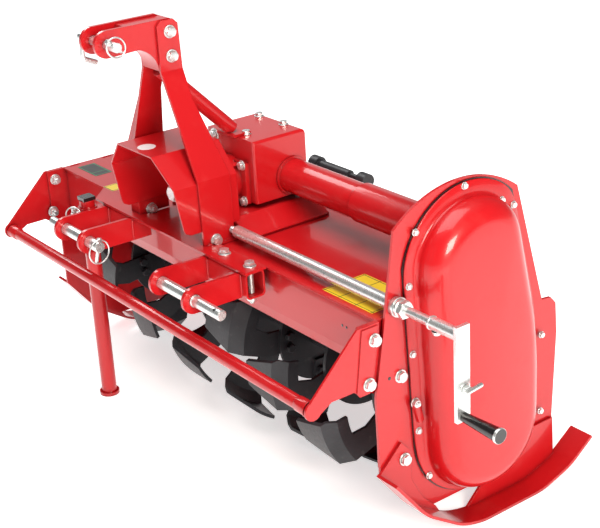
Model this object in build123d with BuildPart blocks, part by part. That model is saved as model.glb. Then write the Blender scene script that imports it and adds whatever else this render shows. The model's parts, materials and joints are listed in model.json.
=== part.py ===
"""Side-shift rotary tiller for a small tractor, millimetres.

+X points to the chain-case side, -Y to the tractor, +Z up.  The origin lies on the ground
under the middle of the whole machine.  Lengths named *_ahead are measured forwards (-Y) from
the rotor axis and lengths named *_behind backwards (+Y).
"""
from build123d import *
from math import atan2, cos, degrees, radians, sin
import os

os.makedirs("parts", exist_ok=True)

# ---------------------------------------------------------------- driving dimensions
# Rotor and working body
rotor_z = 232.0            # rotor axis above the ground
tine_radius = 225.0        # swing of the blades
hood_width = 1176.0        # between the end plates
hood_z = 473.0             # top of the hood
hood_thick = 4.0
hood_flat_behind = 90.0    # where the hood starts to turn down
hood_turn_behind = 175.0
hood_turn_z = 425.0
hood_end_behind = 214.0
hood_end_z = 380.0
hood_bend = 60.0
end_thick = 6.0            # end plates
end_front_ahead = 248.0
end_rear_behind = 248.0
end_low_z = 48.0

# Front beam, a folded channel under the hood's edge
beam_ahead = 204.0         # front edge of the hood
beam_overhang = 6.0        # hood edge to the beam's web
beam_thick = 6.0
beam_flange = 44.0         # depth of the flange under the hood
beam_lip_z = 381.0         # where the web bends into its lower lip
beam_lip = 4.0             # thickness of that lip, and how far it leans backwards
beam_low_z = 359.0

# Guard bar and its brackets
bar_radius = 13.0
bar_ahead = 356.0
bar_z = 350.0
bracket_thick = 5.0
bracket_nose = 18.0
bracket_neck_z = 354.0     # underside between the nose and the foot
bracket_foot_low_z = 341.0
bracket_foot_behind_front = 45.0
bracket_pad = 2.5          # proud pad under the bracket's bolts
bracket_pad_edge = 4.0

# Chain case
plate_thick = 6.0
plate_gap = 5.0            # end plate to side plate
plate_ear_z = 372.0        # shoulder of the side plate's rear ear
axle_behind = 14.0
axle_z = 560.0
gasket_thick = 3.0
gasket_width = 20.0
cover_flange = 4.0
cover_front_ahead = 136.0
cover_front_z = 202.0      # where the front edge runs into the bottom arc
cover_brow_ahead = 154.0
cover_crown = 128.0        # top above the axle
cover_rear_behind = 183.0
cover_low_z = 49.0
cover_margin = 28.0        # flange width round the dome
dome_low_z = 60.0
cover_depth = 63.0
cover_wall = 3.0
cover_round = 46.0

# Telescopic axle tube
tube_radius = 37.0
tube_wall = 4.0
tube_collar = 5.0
tube_reach = 498.0         # out of the gearbox
sleeve_wall = 4.0
sleeve_length = 298.0
slide_play = 0.1           # radial play of what telescopes or turns
slide_gap = 0.3            # carriage plate above the hood

# Carriage
shift_offset = 26.0        # carriage middle left of the hood's middle, at its right stop
plate_front_ahead = 260.0
strip_depth = 51.0
base_thick = 5.0
strip_left = 350.0         # from the carriage middle
strip_right = 293.0
tongue_half = 150.0
neck_half = 128.0
saddle_front_ahead = 148.0
saddle_rear_behind = 60.0
saddle_top_half = 93.0
saddle_height = 29.0
saddle_thick = 6.0
hitch_tube_depth = 45.0
hitch_tube_height = 56.0
hitch_tube_wall = 4.0
hitch_tube_round = 9.0

# Hitch
mast_height = 460.0        # lower pins to top-link pin
pin_ahead = 364.0
pin_z = 447.0
lower_pin_radius = 11.0
pin_shank_radius = 12.5    # where a lower pin passes through its ears
pin_shoulder = 3.0
pin_chamfer = 2.0
top_pin_radius = 9.5
ear_thick = 8.0
ear_round = 27.0
pin_play = 0.1
clevis_gap = 46.0          # between the top-link plates
clevis_thick = 8.0
clevis_nose = 27.0
clevis_slot = 51.0         # top-link pin to the web between the plates
clevis_step = 4.0          # web below the plates' upper edges
clevis_round = 16.0
top_pin_reach = 72.0

# Mast
arm_half = 121.0           # outer face of the right arm at its foot
left_arm_half = 141.0      # the same for the left arm
arm_thick = 6.0
arm_crease_z = 616.0
arm_head_z = 830.0
arm_top_z = 932.0
arm_foot_front_ahead = 240.0
arm_foot_rear_ahead = 165.0
arm_head_front_ahead = 254.0
arm_head_rear_ahead = 203.0
arm_round = 10.0
return_low = 30.0          # flange folded outwards along the left arm's front, at its foot
return_high = 12.0         # and below its head
brace_radius = 16.0

# Gearbox and power take-off
box_half = 87.0
box_front_ahead = 81.0
box_length = 138.0
box_low_z = 517.0
box_high_z = 654.0
box_edge = 6.0
foot_inset = 22.0          # gearbox side to its feet
foot_width = 40.0
bearing_plate = 10.0       # square plate behind the flange
bearing_plate_size = 124.0
rib_thick = 8.0
flange_radius = 50.0
flange_reach = 39.0
nose_radius = 38.0
nose_reach = 22.0
pto_radius = 17.5
pto_reach = 96.0
pto_chamfer = 3.0
pto_seat_radius = 22.0
pto_seat = 40.0            # length of shaft inside the gearbox nose
shield_thick = 3.0
shield_top_half = 57.0
shield_top_z = 671.0
shield_low_z = 508.0
shield_shoulder_z = 611.0
shield_front_ahead = 308.0
shield_front_low_ahead = 280.0
shield_round = 14.0
shield_rear_ahead = 145.0

# Side-shift crank
crank_ahead = 169.0
crank_z = 496.0
crank_tube_radius = 13.0
crank_tube_gap = 17.0      # arm to the end of the crank tube, at the right stop
screw_radius = 8.0
screw_length = 230.0
crank_shaft_radius = 9.0
bushing_radius = 17.0
bushing_reach = 8.0
crank_collar_radius = 15.0
crank_collar = 20.0
crank_shaft_reach = 93.0   # out of the side plate to the socket
crank_socket_radius = 12.0
crank_socket = 72.0
crank_arm_width = 30.0
crank_arm_thick = 8.0
crank_throw = 152.0
grip_length = 88.0
grip_radius = 9.0
grip_end_radius = 13.5

# Stand leg
leg_offset = 280.0         # left of the carriage middle
leg_ahead = 292.0
leg_radius = 17.5
leg_wall = 3.0
leg_top_z = 489.0
foot_radius = 23.0
foot_thick = 8.0
cap_height = 8.0
cap_half = 15.0
socket_low_z = 396.0
socket_wall = 4.4

# Skids
skid_width = 56.0
skid_thick = 6.0
skid_flat_ahead = 8.0
skid_flat_behind = 155.0
skid_front_ahead = 227.0
skid_front_z = 168.0
skid_knee_ahead = 156.0
skid_knee_z = 76.0
skid_toe_ahead = 62.0
skid_toe_z = 13.0
skid_heel_behind = 236.0
skid_heel_z = 25.0
skid_tip_behind = 298.0
skid_tip_z = 68.0
skid_bend = 150.0
skid_ear_z = 211.0         # top of the front ear
skid_web_behind = 34.0     # front end of the rear web
skid_web_z = 118.0

# Rear board
hinge_behind = 226.0
hinge_z = 352.0
hinge_tube_radius = 12.0
hinge_pin_radius = 8.0
hinge_lug = 28.0
board_thick = 4.0
board_low_z = 70.0
board_kick = 8.0           # how far the lower edge leans backwards
board_play = 6.0           # board to end plate, each end

# Catch that holds the rear board up, behind the carriage
catch_behind = 196.0
catch_z = 505.0
catch_radius = 11.0
catch_left = 78.0
catch_length = 134.0
catch_eye_radius = 17.0
catch_eye = 26.0           # length of an eye along the bar
catch_rod_radius = 6.0
catch_rod = 50.0           # thin rod out to the far eye
catch_lug = 8.0
catch_lug_inset = 12.0

# Rotor
rotor_tube_radius = 34.0
rotor_play = 12.0          # tube end to end plate
hub_radius = 58.0
hub_reach = 30.0
shaft_radius = 20.0
disc_radius = 112.0
disc_thick = 8.0
disc_count = 7
disc_pitch = 154.0
disc_twist = 20.0          # degrees from one disc to the next
disc_start = 99.0
tines_per_side = 2
tine_thick = 7.0
tine_blade = 112.0         # sideways reach of a blade
tine_bend = 24.0
tine_arc = 32.0            # degrees of swing that a blade covers
tine_root = 62.0           # radius of the shank's foot
tine_width = 50.0

# ---------------------------------------------------------------- derived places
skid_reach = hood_width / 2 + end_thick + skid_width
crank_face = hood_width / 2 + end_thick + plate_gap + plate_thick
crank_arm_x = crank_face + crank_shaft_reach + crank_socket
crank_reach = crank_arm_x + crank_arm_thick + grip_length
mid_x = (skid_reach - crank_reach) / 2          # hood's middle
rotor_y = (pin_ahead + clevis_nose - skid_tip_behind) / 2
shift_x = mid_x - shift_offset                  # carriage's middle

left_in = mid_x - hood_width / 2
right_in = mid_x + hood_width / 2
left_out = left_in - end_thick
right_out = right_in + end_thick
side_in = right_out + plate_gap
side_out = side_in + plate_thick

beam_y = rotor_y - beam_ahead
bar_y = rotor_y - bar_ahead
axle_y = rotor_y + axle_behind
pin_y = rotor_y - pin_ahead
top_pin_z = pin_z + mast_height
crank_y = rotor_y - crank_ahead
hinge_y = rotor_y + hinge_behind
base_z = hood_z + slide_gap
base_top = base_z + base_thick
strip_front = rotor_y - plate_front_ahead
strip_rear = strip_front + strip_depth
saddle_front = rotor_y - saddle_front_ahead
saddle_rear = rotor_y + saddle_rear_behind
saddle_top = base_top + saddle_height
box_front = rotor_y - box_front_ahead
box_rear = box_front + box_length
tube_front = strip_front + 4.0
tube_low = base_z - hitch_tube_height
tube_rear = tube_front + hitch_tube_depth
leg_x = shift_x - leg_offset
leg_y = rotor_y - leg_ahead
arm_in = arm_half - arm_thick
left_arm_in = left_arm_half - arm_thick
head_half = clevis_gap / 2 + clevis_thick

# from the carriage middle: name, inner ear face, outer ear face, pin beyond each, tube ends
hitch_sides = (
    ("left", -153.0, -258.0, 46.0, 54.0, -274.0, -153.0),
    ("right", 152.0, 271.0, 5.0, 90.0, 140.0, 288.0),
)


def keep(piece, name):
    """Label a finished sub-part and write its STEP file."""
    piece.part.label = name
    export_step(piece.part, "parts/" + name + ".step")


def sheet(points, thickness, side, bend):
    """Outline of a bent sheet, for a sketch: the points are its outer skin."""
    with BuildLine() as outline:
        skin = FilletPolyline(*points, radius=bend)
        offset(skin, amount=thickness, side=side)
    make_face(outline.line.edges())


# ---------------------------------------------------------------- hood and front beam
with BuildPart() as hood:
    with BuildSketch(Plane.YZ.offset(mid_x)):
        sheet(
            (
                (beam_y, hood_z),
                (rotor_y + hood_flat_behind, hood_z),
                (rotor_y + hood_turn_behind, hood_turn_z),
                (rotor_y + hood_end_behind, hood_end_z),
            ),
            hood_thick, Side.RIGHT, hood_bend,
        )
    extrude(amount=hood_width / 2, both=True)
keep(hood, "hood")

with BuildPart() as front_beam:
    beam_high = hood_z - hood_thick
    web_y = beam_y + beam_overhang
    with BuildSketch(Plane.YZ.offset(mid_x)):
        with BuildLine():
            Polyline(
                (web_y + beam_lip, beam_low_z),
                (web_y + 2 * beam_lip, beam_low_z),
                (web_y + beam_thick, beam_lip_z),
                (web_y + beam_thick, beam_high - beam_thick),
                (web_y + beam_flange, beam_high - beam_thick),
                (web_y + beam_flange, beam_high),
                (web_y, beam_high),
                (web_y, beam_lip_z),
                close=True,
            )
        make_face()
    extrude(amount=hood_width / 2, both=True)
keep(front_beam, "front_beam")


# ---------------------------------------------------------------- end plates
def end_outline(low_ahead):
    """End plate's outline in the YZ plane, with its lower front edge ahead of the rotor, for a sketch."""
    front = rotor_y - end_front_ahead
    rear = rotor_y + end_rear_behind
    with BuildLine() as outline:
        Polyline(
            (front, hood_z),
            (rotor_y + hood_flat_behind, hood_z),
            (rotor_y + hood_turn_behind, hood_turn_z),
            (rotor_y + hood_end_behind - 6, hood_end_z),
            (rear, hinge_z),
            (rear, end_low_z + 24),
            (rear - 24, end_low_z),
            (rotor_y - 110, end_low_z),
            (rotor_y - low_ahead, 173),
            (rotor_y - low_ahead, 326),
            (front, bar_z + 6),
            close=True,
        )
    make_face(outline.line.edges())
    with Locations((hinge_y, hinge_z)):
        Circle(hinge_lug)


for name, face, low_ahead in (("left", left_out, 232.0), ("right", right_in, 209.0)):
    with BuildPart() as end_plate:
        with BuildSketch(Plane.YZ.offset(face)):
            end_outline(low_ahead)
            with Locations((hinge_y, hinge_z)):
                Circle(hinge_pin_radius + slide_play, mode=Mode.SUBTRACT)
            with Locations((rotor_y, rotor_z)):
                Circle(hub_radius - 12, mode=Mode.SUBTRACT)
        extrude(amount=end_thick)
    keep(end_plate, "end_plate_" + name)

# ---------------------------------------------------------------- guard brackets and bar
for name, face in (("left", left_out - bracket_thick), ("right", right_out)):
    with BuildPart() as bracket:
        foot_front = rotor_y - end_front_ahead
        foot_rear = foot_front + bracket_foot_behind_front
        with BuildSketch(Plane.YZ.offset(face)):
            with BuildLine():
                Polyline(
                    (foot_front - bracket_pad_edge, hood_z),
                    (foot_rear, hood_z),
                    (foot_rear, bracket_foot_low_z),
                    (foot_front, bracket_foot_low_z),
                    (foot_front - 18, bracket_neck_z),
                    (bar_y + 40, bracket_neck_z),
                    (bar_y + 12, bar_z - bracket_nose + 6),
                    (bar_y, bar_z - bracket_nose + 2),
                    (bar_y - bracket_nose + 4, bar_z + 10),
                    close=True,
                )
            make_face()
            with Locations((bar_y, bar_z)):
                Circle(bracket_nose)
        extrude(amount=bracket_thick)
        if name == "right":
            with BuildSketch(Plane.YZ.offset(face + bracket_thick)):
                with BuildLine():
                    Polyline(
                        (foot_front + bracket_pad_edge, hood_z - bracket_pad_edge),
                        (foot_rear - bracket_pad_edge, hood_z - bracket_pad_edge),
                        (foot_front + 23, bracket_foot_low_z + 8),
                        (foot_front + 17, bracket_foot_low_z),
                        (foot_front - 6, bracket_foot_low_z),
                        (foot_front - 12, bracket_foot_low_z + 8),
                        close=True,
                    )
                make_face()
            extrude(amount=bracket_pad)
    keep(bracket, "guard_bracket_" + name)

with BuildPart() as guard_bar:
    bar_length = hood_width + 2 * end_thick
    with BuildSketch(Plane.YZ.offset(mid_x)):
        with Locations((bar_y, bar_z)):
            Circle(bar_radius)
    extrude(amount=bar_length / 2, both=True)
keep(guard_bar, "guard_bar")

# ---------------------------------------------------------------- chain case
with BuildPart() as side_plate:
    with BuildSketch(Plane.YZ.offset(side_in)):
        with BuildLine():
            crown = ThreePointArc(
                (rotor_y - 168, axle_z + 77),
                (rotor_y - 8, axle_z + 134),
                (rotor_y + 134, axle_z + 84),
            )
            Polyline(
                crown @ 1,
                (rotor_y + 203, plate_ear_z + 17),
                (rotor_y + 228, plate_ear_z + 14),
                (rotor_y + 242, plate_ear_z - 2),
                (rotor_y + 246, 306),
                (rotor_y + 236, 122),
                (rotor_y + 240, end_low_z),
                (rotor_y - 90, end_low_z),
                (rotor_y - 216, 162),
                (rotor_y - 220, rotor_z + 94),
                (rotor_y - 189, 505),
                crown @ 0,
            )
        make_face()
        with Locations((crank_y, crank_z)):
            Circle(crank_shaft_radius + slide_play, mode=Mode.SUBTRACT)
        with Locations((rotor_y, rotor_z)):
            Circle(hub_radius - 12, mode=Mode.SUBTRACT)
    extrude(amount=plate_thick)
    with BuildSketch(Plane.YZ.offset(side_in - plate_gap)):
        with Locations((rotor_y - 190, 260), (rotor_y + 175, 150), (rotor_y + 175, 290)):
            Circle(16)
    extrude(amount=plate_gap)
keep(side_plate, "side_plate")


def cover_outline(inset, low):
    """Chain-case outline in the YZ plane, drawn in by inset and down to low, for a sketch."""
    with BuildLine() as outline:
        front = Line(
            (rotor_y - cover_front_ahead + inset, cover_front_z),
            (rotor_y - cover_brow_ahead + inset, axle_z),
        )
        crown = ThreePointArc(
            front @ 1,
            (rotor_y - 14, axle_z + cover_crown - inset),
            (rotor_y + 118 - 0.75 * inset, axle_z + 80 - 0.75 * inset),
        )
        back = Polyline(
            crown @ 1,
            (rotor_y + cover_rear_behind - 7 - inset, 387),
            (rotor_y + cover_rear_behind - inset, 300),
            (rotor_y + cover_rear_behind - inset, cover_front_z + 4),
        )
        ThreePointArc(back @ 1, (rotor_y + 35, low), front @ 0)
    make_face(outline.line.edges())


with BuildPart() as cover_gasket:
    with BuildSketch(Plane.YZ.offset(side_out)):
        cover_outline(0, cover_low_z)
    extrude(amount=gasket_thick)
    with BuildSketch(Plane.YZ.offset(side_out)):
        cover_outline(gasket_width, dome_low_z + 6)
    extrude(amount=gasket_thick, mode=Mode.SUBTRACT)
keep(cover_gasket, "cover_gasket")

cover_x = side_out + gasket_thick
with BuildPart() as chain_cover:
    with BuildSketch(Plane.YZ.offset(cover_x)):
        cover_outline(0, cover_low_z)
    extrude(amount=cover_flange)
    with BuildSketch(Plane.YZ.offset(cover_x + cover_flange)):
        cover_outline(cover_margin, dome_low_z)
    extrude(amount=cover_depth - cover_flange)
    rim = chain_cover.faces().sort_by(Axis.X)[-1].edges()
    fillet(rim, radius=cover_round)
    with BuildSketch(Plane.YZ.offset(cover_x)):
        cover_outline(cover_margin + cover_round, dome_low_z + cover_round)
    extrude(amount=cover_depth - cover_wall, mode=Mode.SUBTRACT)
keep(chain_cover, "chain_cover")

# ---------------------------------------------------------------- telescopic axle tube
box_right = shift_x + box_half
sleeve_bore = tube_radius + slide_play
with BuildPart() as outer_sleeve:
    with BuildSketch(Plane.YZ.offset(side_in - sleeve_length)):
        with Locations((axle_y, axle_z)):
            Circle(sleeve_bore + sleeve_wall)
            Circle(sleeve_bore, mode=Mode.SUBTRACT)
    extrude(amount=sleeve_length)
keep(outer_sleeve, "outer_sleeve")

with BuildPart() as inner_tube:
    with BuildSketch(Plane.YZ.offset(box_right)):
        with Locations((axle_y, axle_z)):
            Circle(tube_radius)
            Circle(tube_radius - tube_wall, mode=Mode.SUBTRACT)
    extrude(amount=tube_reach)
    with BuildSketch(Plane.YZ.offset(box_right)):
        with Locations((axle_y, axle_z)):
            Circle(tube_radius + tube_collar)
            Circle(tube_radius, mode=Mode.SUBTRACT)
    extrude(amount=tube_collar)
keep(inner_tube, "inner_tube")

# ---------------------------------------------------------------- carriage plate and saddle
with BuildPart() as carriage_plate:
    with BuildSketch(Plane.XY.offset(base_z)):
        with BuildLine():
            Polyline(
                (shift_x - strip_left, strip_rear),
                (shift_x - strip_left + strip_depth, strip_front),
                (shift_x + strip_right, strip_front),
                (shift_x + strip_right, strip_rear),
                (shift_x + neck_half, strip_rear),
                (shift_x + neck_half, saddle_front),
                (shift_x + tongue_half, saddle_front),
                (shift_x + tongue_half, saddle_rear),
                (shift_x - tongue_half, saddle_rear),
                (shift_x - tongue_half, saddle_front),
                (shift_x - neck_half, saddle_front),
                (shift_x - neck_half, strip_rear),
                close=True,
            )
        make_face()
    extrude(amount=base_thick)
keep(carriage_plate, "carriage_plate")

with BuildPart() as saddle:
    with BuildSketch(Plane.XZ.offset(-saddle_front)):
        with BuildLine():
            flank_rise = saddle_height / (tongue_half - saddle_top_half)
            Polyline(
                (shift_x - tongue_half, base_top),
                (shift_x - saddle_top_half, saddle_top),
                (shift_x + saddle_top_half, saddle_top),
                (shift_x + tongue_half, base_top),
                (shift_x + tongue_half - saddle_thick / flank_rise, base_top),
                (shift_x + saddle_top_half, saddle_top - saddle_thick),
                (shift_x - saddle_top_half, saddle_top - saddle_thick),
                (shift_x - tongue_half + saddle_thick / flank_rise, base_top),
                close=True,
            )
        make_face()
    extrude(amount=-(saddle_rear - saddle_front))
keep(saddle, "saddle")

# ---------------------------------------------------------------- hitch tubes, ears and lower pins
for name, inner_face, outer_face, inner_stub, outer_stub, tube_a, tube_b in hitch_sides:
    with BuildPart() as hitch_tube:
        with BuildSketch(Plane.YZ.offset(shift_x + tube_a)):
            with Locations(((tube_front + tube_rear) / 2, tube_low + hitch_tube_height / 2)):
                RectangleRounded(hitch_tube_depth, hitch_tube_height, hitch_tube_round)
                RectangleRounded(
                    hitch_tube_depth - 2 * hitch_tube_wall,
                    hitch_tube_height - 2 * hitch_tube_wall,
                    hitch_tube_round - hitch_tube_wall,
                    mode=Mode.SUBTRACT,
                )
        extrude(amount=tube_b - tube_a)
    keep(hitch_tube, "hitch_tube_" + name)

    outwards = 1 if outer_face > inner_face else -1
    with BuildPart() as ears:
        for face in (inner_face, outer_face):
            near_side = shift_x + face - (ear_thick if outwards > 0 else 0)
            covers_end = face == tube_b
            ear_rear = tube_rear if covers_end else tube_front
            with BuildSketch(Plane.YZ.offset(near_side)):
                with BuildLine():
                    Polyline(
                        (pin_y, pin_z - ear_round),
                        (ear_rear, tube_low + 2),
                        (ear_rear, base_z - 2),
                        (pin_y, pin_z + ear_round),
                        close=True,
                    )
                make_face()
                with Locations((pin_y, pin_z)):
                    Circle(ear_round)
                    Circle(pin_shank_radius + pin_play, mode=Mode.SUBTRACT)
            extrude(amount=ear_thick)
    keep(ears, "lower_ears_" + name)

    pin_inner_end = shift_x + inner_face - outwards * (ear_thick + inner_stub)
    shoulder_x = shift_x + outer_face + outwards * pin_shoulder
    with BuildPart() as lower_pin:
        with BuildSketch(Plane.YZ.offset(pin_inner_end)):
            with Locations((pin_y, pin_z)):
                Circle(pin_shank_radius)
        extrude(amount=shoulder_x - pin_inner_end)
        with BuildSketch(Plane.YZ.offset(shoulder_x)):
            with Locations((pin_y, pin_z)):
                Circle(lower_pin_radius)
        extrude(amount=outwards * outer_stub)
        rims = lower_pin.edges().filter_by(GeomType.CIRCLE).sort_by(Axis.X)
        chamfer([rims[0], rims[-1]], length=pin_chamfer)
    keep(lower_pin, "lower_pin_" + name)


# ---------------------------------------------------------------- mast
for name, hand, foot_half in (("left", -1, left_arm_half), ("right", 1, arm_half)):
    with BuildPart() as arm:
        with BuildSketch(Plane.XZ.offset(-rotor_y)):
            with BuildLine():
                skin = Polyline(
                    (shift_x + hand * foot_half, base_top),
                    (shift_x + hand * foot_half, arm_crease_z),
                    (shift_x + hand * (head_half + arm_thick), arm_head_z),
                    (shift_x + hand * (head_half + arm_thick), arm_top_z),
                )
                offset(skin, amount=arm_thick, side=Side.LEFT if hand > 0 else Side.RIGHT)
            make_face()
        extrude(amount=arm_head_front_ahead + 40)
        with BuildSketch(Plane.YZ.offset(shift_x)):
            with BuildLine():
                Polyline(
                    (rotor_y - arm_foot_front_ahead, base_top),
                    (rotor_y - arm_foot_rear_ahead, base_top),
                    (rotor_y - arm_foot_rear_ahead, arm_crease_z),
                    (rotor_y - arm_head_rear_ahead + 2, arm_crease_z + 154),
                    (rotor_y - arm_head_rear_ahead, arm_head_z),
                    (rotor_y - arm_head_rear_ahead - 3, arm_top_z - arm_round),
                    (rotor_y - arm_head_rear_ahead - 3 - arm_round, arm_top_z),
                    (rotor_y - arm_head_front_ahead + arm_round, arm_top_z),
                    (rotor_y - arm_head_front_ahead, arm_top_z - arm_round),
                    (rotor_y - arm_head_front_ahead, arm_head_z),
                    (rotor_y - arm_foot_front_ahead - 3, arm_crease_z),
                    close=True,
                )
            make_face()
        extrude(amount=foot_half, both=True, mode=Mode.INTERSECT)
        if name == "left":
            with BuildSketch(Plane.XZ.offset(-(rotor_y - arm_foot_front_ahead))):
                with BuildLine():
                    Polyline(
                        (shift_x - foot_half + 2, base_top),
                        (shift_x - foot_half - return_low, base_top),
                        (shift_x - foot_half - return_low, arm_crease_z),
                        (shift_x - head_half - arm_thick - return_high, arm_head_z - 6),
                        (shift_x - head_half - arm_thick + 2, arm_head_z - 6),
                        (shift_x - foot_half + 2, arm_crease_z),
                        close=True,
                    )
                make_face()
            extrude(amount=-arm_thick)
    keep(arm, "mast_arm_" + name)

clevis_rear = rotor_y - arm_head_rear_ahead - 3
clevis_top = top_pin_z + clevis_nose
with BuildPart() as top_clevis:
    with BuildSketch(Plane.YZ.offset(shift_x)):
        with BuildLine():
            nose_low = (pin_y + 2, top_pin_z - clevis_nose)
            under = Line(nose_low, (pin_y + 67, top_pin_z - 24))
            throat = ThreePointArc(under @ 1, (pin_y + 97, top_pin_z - 42), (pin_y + 110, top_pin_z - 75))
            Polyline(
                throat @ 1,
                (clevis_rear, top_pin_z - 75),
                (clevis_rear, clevis_top - clevis_round),
                (clevis_rear - 0.3 * clevis_round, clevis_top - 0.3 * clevis_round),
                (clevis_rear - clevis_round, clevis_top),
                (pin_y, clevis_top),
                nose_low,
            )
        make_face()
        with Locations((pin_y, top_pin_z)):
            Circle(clevis_nose)
            Circle(top_pin_radius + pin_play, mode=Mode.SUBTRACT)
    extrude(amount=head_half, both=True)
    with BuildSketch(Plane.XY.offset(top_pin_z - 2 * clevis_nose)):
        with Locations((shift_x, pin_y)):
            Rectangle(clevis_gap, 2 * clevis_slot)
    extrude(amount=4 * clevis_nose, mode=Mode.SUBTRACT)
    with BuildSketch(Plane.XY.offset(clevis_top - clevis_step)):
        with Locations((shift_x, pin_y)):
            Rectangle(clevis_gap, 2 * (clevis_rear - pin_y) + 2)
    extrude(amount=2 * clevis_step, mode=Mode.SUBTRACT)
keep(top_clevis, "top_clevis")

with BuildPart() as top_pin:
    with BuildSketch(Plane.YZ.offset(shift_x - top_pin_reach)):
        with Locations((pin_y, top_pin_z)):
            Circle(top_pin_radius)
    extrude(amount=2 * top_pin_reach)
keep(top_pin, "top_pin")

brace_top = (shift_x, clevis_rear + brace_radius, top_pin_z - 75 - brace_radius)
with BuildPart() as rear_brace:
    foot_y = box_front + 12
    with BuildSketch(Plane.XY.offset(box_high_z)):
        with Locations((shift_x, foot_y)):
            Rectangle(64, 44)
    extrude(amount=6)
    top_point = Vector(shift_x, clevis_rear - 30, top_pin_z - 75 - 4)
    foot_point = Vector(shift_x, foot_y - 6, box_high_z + 12)
    run = foot_point - top_point
    with BuildSketch(Plane(origin=top_point, z_dir=run)):
        Circle(brace_radius)
    extrude(amount=run.length)
    with BuildSketch(Plane.XY.offset(box_high_z - 40)):
        with Locations((shift_x, foot_y)):
            Rectangle(120, 120)
    extrude(amount=40, mode=Mode.SUBTRACT)
    with BuildSketch(Plane.XY.offset(top_pin_z - 75)):
        with Locations((shift_x, clevis_rear)):
            Rectangle(120, 160)
    extrude(amount=60, mode=Mode.SUBTRACT)
keep(rear_brace, "rear_brace")

# ---------------------------------------------------------------- gearbox and power take-off
nose_front = box_front - flange_reach - nose_reach
with BuildPart() as gearbox:
    with BuildSketch(Plane.XY.offset(box_low_z)):
        with Locations((shift_x, (box_front + box_rear) / 2)):
            Rectangle(2 * box_half, box_length)
    extrude(amount=box_high_z - box_low_z)
    rear_top = gearbox.edges().filter_by(Axis.X).group_by(Axis.Z)[-1].sort_by(Axis.Y)[-1]
    fillet(rear_top, radius=2 * box_edge)
    fillet(gearbox.edges().filter_by(Axis.Z), radius=box_edge)
    with BuildSketch(Plane.XZ.offset(-box_front)):
        with Locations((shift_x, axle_z)):
            Circle(flange_radius)
    extrude(amount=flange_reach)
    with BuildSketch(Plane.XZ.offset(-box_front + flange_reach)):
        with Locations((shift_x, axle_z)):
            Circle(nose_radius)
    extrude(amount=nose_reach)
    with BuildSketch(Plane.XY.offset(saddle_top)):
        with Locations((shift_x, (box_front + box_rear) / 2)):
            with GridLocations(2 * (box_half - foot_inset) - foot_width, 1, 2, 1):
                Rectangle(foot_width, box_length - 2 * foot_inset)
    extrude(amount=box_low_z - saddle_top)
    with BuildSketch(Plane.XZ.offset(-box_front)):
        with Locations((shift_x, axle_z)):
            with GridLocations(bearing_plate_size / 2 - 8, 0.001, 2, 1):
                Rectangle(bearing_plate_size / 2 + 16, bearing_plate_size - 34)
            Rectangle(bearing_plate_size, bearing_plate_size - 34)
    extrude(amount=bearing_plate)
    for tilt in (45, 135):
        with BuildSketch(Plane.XZ.offset(-box_front + bearing_plate)):
            with Locations(Location((shift_x, axle_z, 0), (0, 0, tilt))):
                Rectangle(2 * flange_radius + 16, rib_thick)
        extrude(amount=flange_reach - bearing_plate)
    with BuildSketch(Plane.XZ.offset(-nose_front)):
        with Locations((shift_x, axle_z)):
            Circle(pto_seat_radius + slide_play)
    extrude(amount=-pto_seat, mode=Mode.SUBTRACT)
keep(gearbox, "gearbox")

with BuildPart() as pto_shaft:
    with BuildSketch(Plane.XZ.offset(-(nose_front + pto_seat - 1))):
        with Locations((shift_x, axle_z)):
            Circle(pto_seat_radius)
    extrude(amount=pto_seat - 1)
    with BuildSketch(Plane.XZ.offset(-nose_front)):
        with Locations((shift_x, axle_z)):
            Circle(pto_radius)
    extrude(amount=pto_reach)
    chamfer(pto_shaft.faces().sort_by(Axis.Y)[0].edges(), length=pto_chamfer)
keep(pto_shaft, "pto_shaft")

shield_front = rotor_y - shield_front_ahead
with BuildPart() as pto_shield:
    with BuildSketch(Plane.XZ.offset(-(rotor_y - shield_rear_ahead))):
        with BuildLine():
            skin = Polyline(
                (shift_x - left_arm_in, shield_low_z),
                (shift_x - left_arm_in, shield_shoulder_z),
                (shift_x - shield_top_half - left_arm_in + arm_in, shield_top_z),
                (shift_x + shield_top_half, shield_top_z),
                (shift_x + arm_in, shield_shoulder_z),
                (shift_x + arm_in, shield_low_z),
            )
            offset(skin, amount=shield_thick, side=Side.RIGHT)
        make_face()
    extrude(amount=shield_front_ahead - shield_rear_ahead)
    with BuildSketch(Plane.YZ.offset(shift_x)):
        with BuildLine():
            Polyline(
                (shield_front, shield_top_z),
                (rotor_y - shield_rear_ahead, shield_top_z),
                (rotor_y - shield_rear_ahead, shield_low_z),
                (rotor_y - shield_front_low_ahead + shield_round, shield_low_z),
                (rotor_y - shield_front_low_ahead + 0.2 * shield_round, shield_low_z + 0.4 * shield_round),
                (rotor_y - shield_front_low_ahead - 1, shield_low_z + shield_round),
                close=True,
            )
        make_face()
    extrude(amount=left_arm_half, both=True, mode=Mode.INTERSECT)
keep(pto_shield, "pto_shield")

# ---------------------------------------------------------------- side-shift screw and crank
arm_face = shift_x + arm_half
with BuildPart() as shift_screw:
    with BuildSketch(Plane.YZ.offset(arm_face)):
        with Locations((crank_y, crank_z)):
            Circle(screw_radius)
    extrude(amount=screw_length)
keep(shift_screw, "shift_screw")

with BuildPart() as crank_bushing:
    with BuildSketch(Plane.YZ.offset(side_out)):
        with Locations((crank_y, crank_z)):
            Circle(bushing_radius)
            Circle(crank_shaft_radius + slide_play, mode=Mode.SUBTRACT)
    extrude(amount=bushing_reach)
keep(crank_bushing, "crank_bushing")

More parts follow.
